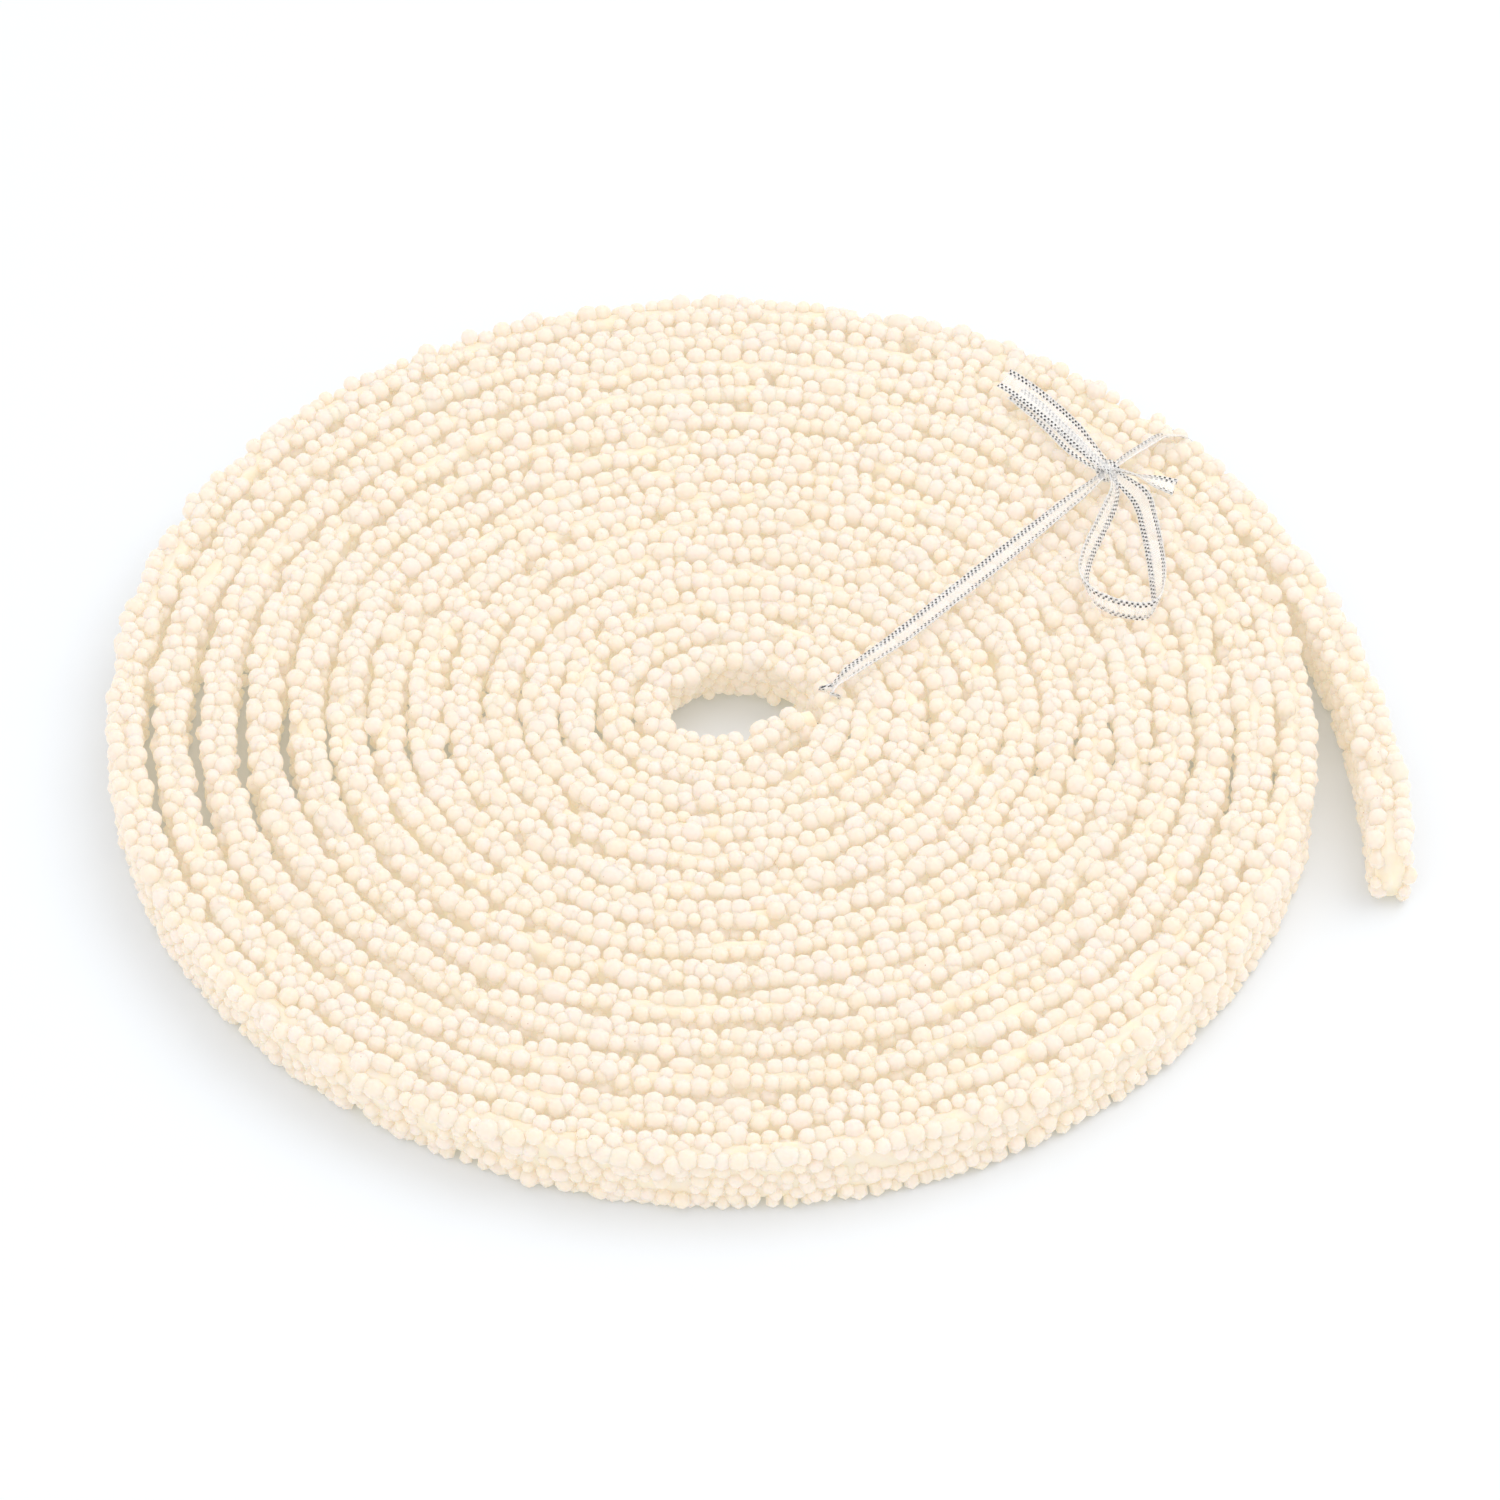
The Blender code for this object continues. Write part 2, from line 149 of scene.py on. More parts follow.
# Bead rows: name of the piece, side (+1 outer, -1 inner, 0 middle), distance in from the band's side,
# height below the top (or above the floor when negative), share of places filled, how much that share
# changes from place to place, radius, how far a bead strays, first and last turn, and kind of bead
ROWS = (
    ("beads_top_outer", 1, 0.00096, 0.00106, 0.97, 0.0, 0.00117, 0.00030, 0.0, 99.0, "fine"),
    ("beads_top_inner", -1, 0.00096, 0.00106, 0.97, 0.0, 0.00117, 0.00030, 0.0, 99.0, "fine"),
    ("beads_top_middle", 0, 0.0, 0.00090, 0.56, 0.45, 0.00114, 0.00050, 0.0, 99.0, "plain"),
    ("beads_shoulders", 1, 0.00086, 0.00275, 0.93, 0.0, 0.00114, 0.00026, 0.0, 99.0, "plain"),
    ("beads_shoulders", -1, 0.00086, 0.00275, 0.93, 0.0, 0.00114, 0.00026, 0.0, 99.0, "plain"),
    ("beads_walls", 1, 0.00085, 0.00450, 0.90, 0.2, 0.00106, 0.00022, 9.0, 99.0, "plain"),
    ("beads_walls", -1, 0.00085, 0.00450, 0.90, 0.2, 0.00106, 0.00022, 9.0, 99.0, "plain"),
    ("beads_walls", 1, 0.00075, 0.00620, 0.90, 0.2, 0.00106, 0.00026, 12.7, 99.0, "plain"),
    ("beads_walls", 1, 0.00075, 0.00785, 0.90, 0.2, 0.00106, 0.00026, 12.7, 99.0, "plain"),
    ("beads_walls", -1, 0.00075, 0.00620, 0.90, 0.2, 0.00106, 0.00026, 13.80, 99.0, "plain"),
    ("beads_walls", -1, 0.00075, 0.00785, 0.90, 0.2, 0.00106, 0.00026, 13.80, 99.0, "plain"),
    ("beads_walls", -1, 0.00065, 0.00450, 0.95, 0.0, 0.00106, 0.00026, 0.0, 1.15, "plain"),
    ("beads_walls", -1, 0.00065, 0.00620, 0.95, 0.0, 0.00106, 0.00026, 0.0, 1.15, "plain"),
    ("beads_walls", -1, 0.00065, 0.00785, 0.95, 0.0, 0.00106, 0.00026, 0.0, 1.15, "plain"),
    ("beads_walls", 1, 0.00065, 0.00450, 0.95, 0.0, 0.00106, 0.00026, 0.0, 0.30, "plain"),
    ("beads_underside", 1, 0.00080, -0.00105, 0.95, 0.0, 0.00104, 0.00012, 0.0, 99.0, "coarse"),
    ("beads_underside", -1, 0.00080, -0.00105, 0.95, 0.0, 0.00104, 0.00012, 0.0, 99.0, "coarse"),
)
PATCH_LENGTH = 0.009
HIGHEST_STRAY = 0.00045
BEAD_FACETS = {"fine": (8, 5), "plain": (7, 4), "coarse": (6, 3)}

# How beads vary: limits of their distance and size, the room left at the band's end, how far they stray up,
# how much a top bead faces sideways, and the limits by which they are long, wide and deep
PITCH_LIMITS = (0.0012, 0.0030)
SPARE_PLACES = 1.3
END_MARGIN = 0.0009
STRAY_UP = 0.8
SIZE_LIMITS = (0.70, 1.28)
SIDE_FACING = 0.45
TOP_ROW_DEPTH = 0.002
BEAD_REACH = 0.0002
LONG_LIMITS = (1.15, 1.5)
WIDE_LIMITS = (0.93, 1.05)
DEEP_LIMITS = (0.88, 1.02)

# The ribbon as x, y, z of its middle and the tilt of its width from level, in degrees: first its ring, from
# the knot over the rim, under the coil, up by the eye and back to the knot, then the strands of the bow
RING = (
    (0.0498, 0.0409, 0.0117, 35),
    (0.0528, 0.0439, 0.0118, 38),
    (0.0566, 0.0476, 0.0114, 38),
    (0.0587, 0.0497, 0.0101, 20),
    (0.0602, 0.0511, 0.0084, 0),
    (0.0604, 0.0513, 0.0018, 0),
    (0.0597, 0.0506, 0.00065, 0),
    (0.0122, 0.0036, 0.00065, 0),
    (0.0126, 0.0036, 0.0014, 0),
    (0.0134, 0.0036, 0.0050, 10),
    (0.0134, 0.0028, 0.0090, 54),
    (0.0137, 0.0022, 0.0106, 54),
    (0.0163, 0.0048, 0.0113, 28),
    (0.0224, 0.0106, 0.0113, 15),
    (0.0360, 0.0257, 0.0113, 12),
    (0.0498, 0.0409, 0.0117, 35),
)
RING_BEARING = math.radians(44.6)
STITCH_PITCH = 0.00070
KNOT_CENTRE = (0.0498, 0.0409, 0.0118)
KNOT_SIZE = (0.0011, 0.0009)
KNOT_WIDTH = 0.0020
GATHERED = 0.45
GATHER_LENGTH = 0.0060
FACE_CORNERS = 9
DISH = 0.00018
DISH_LEVEL = 0.4
FEWEST_STRAND_RINGS = 8
FEWEST_KNOT_RINGS = 16
STRANDS = {
    "front_loop": (
        (0.0503, 0.0401, 0.0120, 45),
        (0.0503, 0.0359, 0.0122, 66),
        (0.0485, 0.0306, 0.0122, 68),
        (0.0465, 0.0250, 0.0122, 68),
        (0.0458, 0.0208, 0.0121, 66),
        (0.0469, 0.0174, 0.0122, 80),
        (0.0492, 0.0155, 0.0122, 90),
        (0.0513, 0.0147, 0.0122, 90),
        (0.0534, 0.0145, 0.0122, 90),
        (0.0550, 0.0160, 0.0122, 72),
        (0.0554, 0.0208, 0.0120, 50),
        (0.0552, 0.0259, 0.0119, 46),
        (0.0547, 0.0308, 0.0119, 46),
        (0.0538, 0.0356, 0.0120, 46),
        (0.0506, 0.0400, 0.0120, 40),
    ),
    "back_loop": (
        (0.0495, 0.0415, 0.0119, 40),
        (0.0468, 0.0453, 0.0126, 50),
        (0.0443, 0.0492, 0.0126, 46),
        (0.0414, 0.0531, 0.0125, 36),
        (0.0388, 0.0563, 0.0123, 28),
        (0.0369, 0.0582, 0.0122, 24),
    ),
    "back_end": (
        (0.0495, 0.0413, 0.0115, 20),
        (0.0463, 0.0449, 0.0115, 5),
        (0.0439, 0.0487, 0.0113, 0),
        (0.0411, 0.0528, 0.0113, 0),
        (0.0384, 0.0562, 0.0113, 0),
    ),
    "side_end": (
        (0.0502, 0.0408, 0.0120, 60),
        (0.0533, 0.0396, 0.0123, 45),
        (0.0559, 0.0385, 0.0121, 15),
        (0.0583, 0.0378, 0.0117, 0),
    ),
}

# Looks: painted glow given off, how far light goes in, cells of each pattern a metre, and where each pattern
# shows, the painted glints among them
BEAD_PAINTED_GLOW = 0.24
RESIN_PAINTED_GLOW = 0.30
RIBBON_PAINTED_GLOW = 0.13
BEAD_LIGHT_DEPTH = 0.0028
RESIN_LIGHT_DEPTH = 0.0030
CLOUD_CELLS = 900.0
PAINTED_GLINT_AND_SPECK_CELLS = 1500.0
PAINTED_GLINT_AND_SPECK_EDGE = (0.10, 0.16)
PAINTED_GLINT_ABOVE = 0.60
SPECK_BELOW = 0.335
LUMP_CELLS = 520.0
LUMP_RANGE = (0.1, 0.7)

# The ribbon's cloth: where its stitched edge starts and how wide a row of stitches is, as shares of the half
# width, the edges of a stitch, the threads' pitch along and across, and how much each part covers
EDGE_RANGE = (0.50, 0.53)
ROW_WIDTH = 0.24
STITCH_EDGE = (0.19, 0.24)
ROW_EDGE = (0.30, 0.40)
WARP_PITCH = 0.085
WEFT_PITCH = 0.00040
THREAD_EDGE = (0.25, 0.38)
THREAD_COVER = 0.28
CLEAR_COVER = 0.14
EDGE_COVER = 0.50
# Painted sparkle on the silver stitches: its cells a metre and the range in which it shows
PAINTED_SPARKLE_CELLS = 2600.0
PAINTED_SPARKLE_RANGE = (0.58, 0.68)

# The stage: floor, world, lamps as name, place, size and power, and the camera
FLOOR_REACH = 3.0
WORLD_STRENGTH = 0.94
LAMPS = (
    ("key", (0.48, 0.22, 0.90), 0.90, 2.5),
    ("fill", (-0.3, -0.7, 0.8), 0.8, 1.0),
)
SENSOR = 36.0
LENS = 167.04
PHOTO_SIZE = 1500
PHOTO_SHIFT = (28, -45)
CAMERA_RISE = math.radians(45)
CAMERA_DISTANCE = 0.870
CAMERA_AIM_HEIGHT = 0.010


def tone(name, description, default):
    """A colour that can be set in the panel."""
    return FloatVectorProperty(name=name, description=description, subtype="COLOR", default=default)


class GarlandBandSizes(bpy.types.PropertyGroup):
    """Sizes of the band of resin that carries the beads."""

    height: FloatProperty(
        name="Height", description="Height of the band on its edge", default=0.0100, unit="LENGTH"
    )
    width_inside: FloatProperty(
        name="Width inside", description="Width in the innermost turns", default=0.0040, unit="LENGTH"
    )
    width_outside: FloatProperty(
        name="Width outside", description="Width in the outermost turns", default=0.0047, unit="LENGTH"
    )
    width_tail: FloatProperty(
        name="Width of the tail", description="Width of the loose tail", default=0.0051, unit="LENGTH"
    )
    resin_inset: FloatProperty(
        name="Resin inset",
        description="How far the resin lies inside the band's outline",
        default=0.00070,
        unit="LENGTH",
    )
    resin_drop: FloatProperty(
        name="Resin drop",
        description="How far the resin's top lies under the tops of the beads",
        default=0.00085,
        unit="LENGTH",
    )
    station: FloatProperty(
        name="Station", description="Distance between rings of the resin", default=0.0013, unit="LENGTH"
    )


class GarlandBeadSizes(bpy.types.PropertyGroup):
    """Sizes and unevenness of the beads."""

    pitch: FloatProperty(
        name="Pitch", description="Distance between beads in a row", default=0.00204, unit="LENGTH"
    )
    pitch_change: FloatProperty(
        name="Pitch change", description="How much the distance varies, as a share", default=0.15
    )
    size_change: FloatProperty(
        name="Size change", description="How much the radius varies, as a share", default=0.13
    )
    long_share: FloatProperty(
        name="Long share", description="Share of beads that are drawn out along the band", default=0.10
    )
    seed: IntProperty(name="Seed", description="Start of the random numbers", default=7)


class GarlandRibbonSizes(bpy.types.PropertyGroup):
    """Sizes of the ribbon."""

    width: FloatProperty(name="Width", description="Width of the ribbon", default=0.0030, unit="LENGTH")
    thickness: FloatProperty(
        name="Thickness", description="Thickness of the ribbon", default=0.00022, unit="LENGTH"
    )
    step: FloatProperty(
        name="Step", description="Distance between rings along the ribbon", default=0.0006, unit="LENGTH"
    )


class GarlandColours(bpy.types.PropertyGroup):
    """Colours of the materials."""

    bead_light: tone("Bead", "Colour of the palest beads", (0.675, 0.60, 0.575))
    bead_warm: tone("Warm bead", "Colour of the warmest beads", (0.67, 0.59, 0.52))
    resin: tone("Resin", "Colour of the resin", (0.71, 0.62, 0.49))
    ribbon: tone("Ribbon", "Colour of the ribbon's cloth", (0.95, 0.945, 0.94))
    # Painted glow: light given off by the beads and the resin themselves, standing in for light shining
    # through them
    painted_glow: tone("Glow", "Light that shines through the beads", (0.94, 0.885, 0.655))
    speck: tone("Speck", "Colour of the few dark specks", (0.35, 0.16, 0.13))
    silver: tone("Silver", "Colour of the metallic edge", (0.03, 0.03, 0.035))
    floor: tone("Floor", "Colour of the floor", (0.87, 0.90, 0.935))


# Shader helpers


class Value:
    """A socket or a number in a node tree; its operators make Math nodes."""

    def __init__(self, tree, socket):
        self.tree = tree
        self.socket = socket

    def _math(self, operation, *others, first=None):
        made = new_node(self.tree, "ShaderNodeMath", {"operation": operation})
        sources = [self, *others] if first is None else [first, self]
        for place, source in enumerate(sources):
            feed(self.tree, made.inputs[place], source)
        return Value(self.tree, made.outputs[0])

    def __add__(self, other):
        return self._math("ADD", other)

    def __radd__(self, other):
        return self._math("ADD", first=other)

    def __sub__(self, other):
        return self._math("SUBTRACT", other)

    def __rsub__(self, other):
        return self._math("SUBTRACT", first=other)

    def __mul__(self, other):
        return self._math("MULTIPLY", other)

    def __rmul__(self, other):
        return self._math("MULTIPLY", first=other)

    def __truediv__(self, other):
        return self._math("DIVIDE", other)

    def __gt__(self, other):
        return self._math("GREATER_THAN", other)

    def __lt__(self, other):
        return self._math("LESS_THAN", other)

    def fraction(self):
        return self._math("FRACT")

    def distance(self):
        return self._math("ABSOLUTE")

    def larger(self, other):
        return self._math("MAXIMUM", other)

    def between(self, low, high):
        """Zero below low, one above high and a smooth step between them."""
        settings = {"interpolation_type": "SMOOTHSTEP"}
        ranged = new_node(self.tree, "ShaderNodeMapRange", settings, Value=self, From_Min=low, From_Max=high)
        return Value(self.tree, ranged.outputs["Result"])


def feed(tree, target, source):
    """Links a Value or a socket into target, or sets target to a plain number or colour."""
    if isinstance(source, Value):
        tree.links.new(source.socket, target)
    elif isinstance(source, bpy.types.NodeSocket):
        tree.links.new(source, target)
    else:
        target.default_value = source


def new_node(tree, kind, settings=None, **sources):
    """A node of any kind: its settings first, then its values and links, by socket name."""
    made = tree.nodes.new(kind)
    for name, value in (settings or {}).items():
        setattr(made, name, value)
    for name, source in sources.items():
        feed(tree, made.inputs[name.replace("_", " ")], source)
    return made


class Shader:
    """One material with a Principled shader, and short ways to make its other nodes."""

    def __init__(self, name):
        self.material = bpy.data.materials.new(name)
        self.material.use_nodes = True
        self.tree = self.material.node_tree
        self.principled = self.tree.nodes["Principled BSDF"]

    def node(self, kind, settings=None, **sources):
        return new_node(self.tree, kind, settings, **sources)

    def value(self, socket):
        return Value(self.tree, socket)

    def attribute(self, name):
        return self.value(self.node("ShaderNodeAttribute", {"attribute_name": name}).outputs["Fac"])

    def blend(self, share, first, second):
        """A colour that goes from first to second."""
        made = self.node("ShaderNodeMix", {"data_type": "RGBA"})
        feed(self.tree, made.inputs[0], share)
        feed(self.tree, made.inputs[6], first)
        feed(self.tree, made.inputs[7], second)
        return made.outputs[2]

    def set(self, **values):
        """Sets or links the Principled shader's own sockets."""
        for name, source in values.items():
            feed(self.tree, self.principled.inputs[name.replace("_", " ")], source)

    def object_place(self):
        return self.node("ShaderNodeTexCoord").outputs["Object"]


def opaque(colour):
    return (*colour, 1.0)


# The band's line


def through(values, place):
    """A smooth curve through evenly spaced rows of values, read at place, counted in rows.

    Between two rows it is the cubic whose slope at each row is half the step between that row's neighbours.
    """
    values = np.asarray(values, float)
    place = np.clip(np.atleast_1d(place), 1.0, len(values) - 2.0 - 1e-9)
    row = place.astype(int)
    part = place - row
    before, first, second, after = (values[row + step] for step in (-1, 0, 1, 2))
    if values.ndim > 1:
        part = part[:, None]
    slope_in = (second - before) / 2
    slope_out = (after - first) / 2
    rest = second - first
    return (
        first
        + slope_in * part
        + (3 * rest - 2 * slope_in - slope_out) * part**2
        + (slope_in + slope_out - 2 * rest) * part**3
    )


def window(bearing, middle, half_arc):
    """One at the middle bearing, falling as a squared cosine to nothing at half_arc on either side of it."""
    away = np.abs((bearing - middle + math.pi) % (2 * math.pi) - math.pi)
    return np.cos(np.clip(away / half_arc, 0, 1) * math.pi / 2) ** 2


def on_the_coil(turns):
    """Points of the coil's centre line, clockwise as seen from above.

    At t turns they are (r cos 2 pi t, -r sin 2 pi t), where r is the table's radius plus the bulge, which
    grows with the cube of the radius.
    """
    rows = [RADIUS_BEFORE, *np.ravel(TURN_RADII), RADIUS_AFTER]
    radius = through(rows, 1.0 + 4 * np.asarray(turns, float))
    bearing = 2 * math.pi * np.asarray(turns, float)
    bulge = BULGE * (radius / BULGE_AT_RADIUS) ** 3
    radius = radius + bulge * window(bearing, BULGE_BEARING, BULGE_HALF_ARC)
    return np.stack([radius * np.cos(bearing), -radius * np.sin(bearing)], axis=1)


def loose_end(route, joined, stations):
    """Stations along a route that runs on smoothly from three joined points, the last of them left out."""
    route = np.vstack([joined, route, 2 * np.array(route[-1]) - route[-2]])
    return through(route, np.linspace(2.0, len(route) - 2.0, stations + 1)[1:])


def unit(rows):
    """The rows, each scaled to length 1."""
    return rows / np.maximum(np.linalg.norm(rows, axis=1), 1e-12)[:, None]


class BandLine:
    """The band's centre line, sampled finely, and what can be read along it by distance."""

    def __init__(self, sizes):
        turns = np.linspace(COIL_START, COIL_END, COIL_STATIONS)
        back = np.array([2.0, 1.0, 0.0])
        inside = on_the_coil(COIL_START + back / START_JOIN)
        outside = on_the_coil(COIL_END - back / TAIL_JOIN)
        start = loose_end(START_ROUTE[::-1], inside, START_STATIONS)[::-1]
        tail = loose_end(TAIL_ROUTE, outside, TAIL_STATIONS)
        self.points = np.vstack([start, on_the_coil(turns), tail])
        start_turns = COIL_START - START_TURNS * np.arange(len(start), 0, -1) / len(start)
        tail_turns = COIL_END + TAIL_TURNS * np.arange(1, len(tail) + 1) / len(tail)
        self.turns = np.concatenate([start_turns, turns, tail_turns])
        steps = np.linalg.norm(np.diff(self.points, axis=0), axis=1)
        self.distance = np.concatenate([[0.0], np.cumsum(steps)])
        self.length = float(self.distance[-1])
        self.sizes = sizes

    def turn(self, distance):
        return np.interp(distance, self.distance, self.turns)

    def place(self, distance):
        """Points of the line, level, counted from the coil's centre."""
        columns = [np.interp(distance, self.distance, column) for column in self.points.T]
        return np.stack(columns, axis=1)

    def polar(self, distance):
        """Radius and bearing of the line, the bearing clockwise as seen from above."""
        points = self.place(distance)
        return np.hypot(points[:, 0], points[:, 1]), np.arctan2(-points[:, 1], points[:, 0])

    def outward(self, distance):
        """The level direction square to the line, away from the coil's middle."""
        travel = unit(self.place(distance + TRAVEL_REACH) - self.place(distance - TRAVEL_REACH))
        return np.stack([-travel[:, 1], travel[:, 0]], axis=1)

    def lean(self, distance):
        """How far the band leans over towards the eye, in radians."""
        radius, bearing = self.polar(distance)
        total = np.zeros(len(radius))
        for angle, full_at, nothing_at, middle, half_arc in LEANS:
            by_radius = np.clip((radius - nothing_at) / (full_at - nothing_at), 0, 1)
            total += angle * by_radius * window(bearing, middle, half_arc)
        return total

    def width(self, distance):
        """The band's width: read from the turn, less the pinch of the outer turns at the left."""
        sizes = self.sizes
        radius, bearing = self.polar(distance)
        outer = np.clip((radius - PINCH_FROM_RADIUS) / PINCH_FULL_AFTER, 0, 1)
        pinched = PINCH * outer * window(bearing, PINCH_BEARING, PINCH_HALF_ARC)
        widths = (
            sizes.width_inside,
            sizes.width_inside + WIDTH_GAIN,
            sizes.width_outside,
            sizes.width_outside,
            sizes.width_tail,
        )
        return np.interp(self.turn(distance), WIDTH_TURNS, widths) - pinched

    def in_frame(self, distance, across, up):
        """Row-frame points at a distance along the band, so far outward and above its mid-height.

        Where the band leans, its top stays on the centre line and its foot moves.
        """
        points = self.place(distance)
        outward = self.outward(distance)
        tilt = self.lean(distance)
        foot = self.sizes.height / 2 * np.sin(tilt)
        sideways = foot + across * np.cos(tilt) - up * np.sin(tilt)
        height = across * np.sin(tilt) + up * np.cos(tilt) + self.sizes.height / 2
        level = points + outward * sideways[:, None] + np.array(COIL_CENTRE)
        return np.column_stack([level, height])


# Mesh helpers


def mesh_object(name, vertices, quads, material, triangles=(), floats=None):
    """An object from arrays of corners and faces, with one value a corner for each entry of floats."""
    mesh = bpy.data.meshes.new(name)
    quads = np.asarray(quads, int).reshape(-1, 4)
    triangles = np.asarray(triangles, int).reshape(-1, 3)
    mesh.vertices.add(len(vertices))
    mesh.vertices.foreach_set("co", np.asarray(vertices, float).ravel())
    loops = np.concatenate([quads.ravel(), triangles.ravel()])
    mesh.loops.add(len(loops))
    mesh.loops.foreach_set("vertex_index", loops)
    starts = np.concatenate([4 * np.arange(len(quads)), 4 * len(quads) + 3 * np.arange(len(triangles))])
    mesh.polygons.add(len(starts))
    mesh.polygons.foreach_set("loop_start", starts)
    mesh.polygons.foreach_set("use_smooth", np.ones(len(starts), bool))
    mesh.update(calc_edges=True)
    mesh.validate()
    for label, values in (floats or {}).items():
        stored = mesh.attributes.new(label, "FLOAT", "POINT")
        stored.data.foreach_set("value", np.asarray(values, float))
    mesh.materials.append(material)
    obj = bpy.data.objects.new(name, mesh)
    bpy.context.scene.collection.objects.link(obj)
    return obj


def tube_faces(rings, corners):
    """Quads between neighbouring rings of a tube, turned outward, for corners that run anticlockwise."""
    ring, corner = np.meshgrid(np.arange(rings - 1), np.arange(corners), indexing="ij")
    following = (corner + 1) % corners
    return np.stack(
        [
            ring * corners + corner,
            ring * corners + following,
            (ring + 1) * corners + following,
            (ring + 1) * corners + corner,
        ],
        axis=-1,
    ).reshape(-1, 4)


def round_bead(segments, bands):
    """A sphere of radius 1: its corners, quads and triangles.

    A corner at slope a from the pole and a turn b round it lies at (sin a cos b, sin a sin b, cos a).
    """
    slope = math.pi * np.arange(1, bands) / bands
    around = 2 * math.pi * np.arange(segments) / segments
    rings = np.stack(
        [
            np.outer(np.sin(slope), np.cos(around)),
            np.outer(np.sin(slope), np.sin(around)),
            np.outer(np.cos(slope), np.ones(segments)),
        ],
        axis=-1,
    ).reshape(-1, 3)
    corners = np.vstack([rings, [(0, 0, 1), (0, 0, -1)]])
    band, step = np.meshgrid(np.arange(bands - 2), np.arange(segments), indexing="ij")
    following = (step + 1) % segments
    quads = np.stack(
        [
            band * segments + step,
            (band + 1) * segments + step,
            (band + 1) * segments + following,
            band * segments + following,
        ],
        axis=-1,
    ).reshape(-1, 4)
    step = np.arange(segments)
    following = (step + 1) % segments
    low = (bands - 2) * segments
    top = np.stack([np.full(segments, len(rings)), step, following], axis=1)
    bottom = np.stack([np.full(segments, len(rings) + 1), low + following, low + step], axis=1)
    return corners, quads, np.vstack([top, bottom])


def copies(shape, centres, axes):
    """The shape repeated: at each centre, with its own X, Y and Z drawn along the rows of axes."""
    corners, quads, triangles = shape
    count = len(centres)
    placed = centres[:, None, :] + np.einsum("vk,nkc->nvc", corners, axes)
    offset = len(corners) * np.arange(count)[:, None, None]
    return placed.reshape(-1, 3), (quads + offset).reshape(-1, 4), (triangles + offset).reshape(-1, 3)


# Materials


def bead_material(colours):
    """Cream beads: milky and soft, each a little different, with a few dark specks, a few fine painted
    glints and a painted glow given off in place of light shining through them.
    """
    shader = Shader("ivory_beads")
    tint = shader.attribute("tint")
    place = shader.object_place()
    noise = shader.node("ShaderNodeTexNoise", Vector=place, Scale=CLOUD_CELLS, Detail=2.0)
    cloud = shader.value(noise.outputs["Fac"])
    colour = shader.blend(tint, opaque(colours.bead_light), opaque(colours.bead_warm))
    # Cells for the painted glints and for the dark specks
    painted_glint_and_speck_cells = shader.node("ShaderNodeTexVoronoi", Vector=place, Scale=PAINTED_GLINT_AND_SPECK_CELLS)
    spot = 1.0 - shader.value(painted_glint_and_speck_cells.outputs["Distance"]).between(*PAINTED_GLINT_AND_SPECK_EDGE)
    # Painted glints: small spots, where the cloud is high, that give off white light
    painted_glint = spot * (cloud > PAINTED_GLINT_ABOVE)
    speck = spot * (cloud < SPECK_BELOW)
    colour = shader.blend(speck * 0.8, colour, opaque(colours.speck))
    bump = shader.node("ShaderNodeBump", Height=cloud, Strength=0.15, Distance=0.0002)
    # Painted glow given off by the beads, white at the painted glints
    painted_glow = shader.blend(painted_glint, opaque(colours.painted_glow), (1.0, 1.0, 1.0, 1.0))
    shader.set(
        Base_Color=colour,
        Roughness=cloud * 0.3 + 0.30,
        IOR=1.45,
        Subsurface_Weight=0.8,
        Subsurface_Radius=(1.0, 0.7, 0.45),
        Subsurface_Scale=BEAD_LIGHT_DEPTH,
        Emission_Color=painted_glow,
        Emission_Strength=BEAD_PAINTED_GLOW,
        Normal=bump.outputs["Normal"],
    )
    return shader.material


def resin_material(colours):
    """The resin between the beads: warmer, waxy and lumpy, with a painted glow given off that lifts its
    shade between the beads.
    """
    shader = Shader("pale_resin")
    place = shader.object_place()
    cells = shader.node("ShaderNodeTexVoronoi", {"feature": "SMOOTH_F1"}, Vector=place, Scale=LUMP_CELLS)
    lump = shader.value(cells.outputs["Distance"])
    height = 1.0 - lump
    colour = shader.blend(lump.between(*LUMP_RANGE), opaque(colours.bead_warm), opaque(colours.resin))
    bump = shader.node("ShaderNodeBump", Height=height, Strength=0.8, Distance=0.0006)
    # Painted glow: the resin gives off light that lifts its shade between the beads
    shader.set(
        Base_Color=colour,
        Roughness=0.45,
        Subsurface_Weight=0.8,
        Subsurface_Radius=(1.0, 0.7, 0.4),
        Subsurface_Scale=RESIN_LIGHT_DEPTH,
        Emission_Color=opaque(colours.painted_glow),
        Emission_Strength=RESIN_PAINTED_GLOW,
        Normal=bump.outputs["Normal"],
    )
    return shader.material


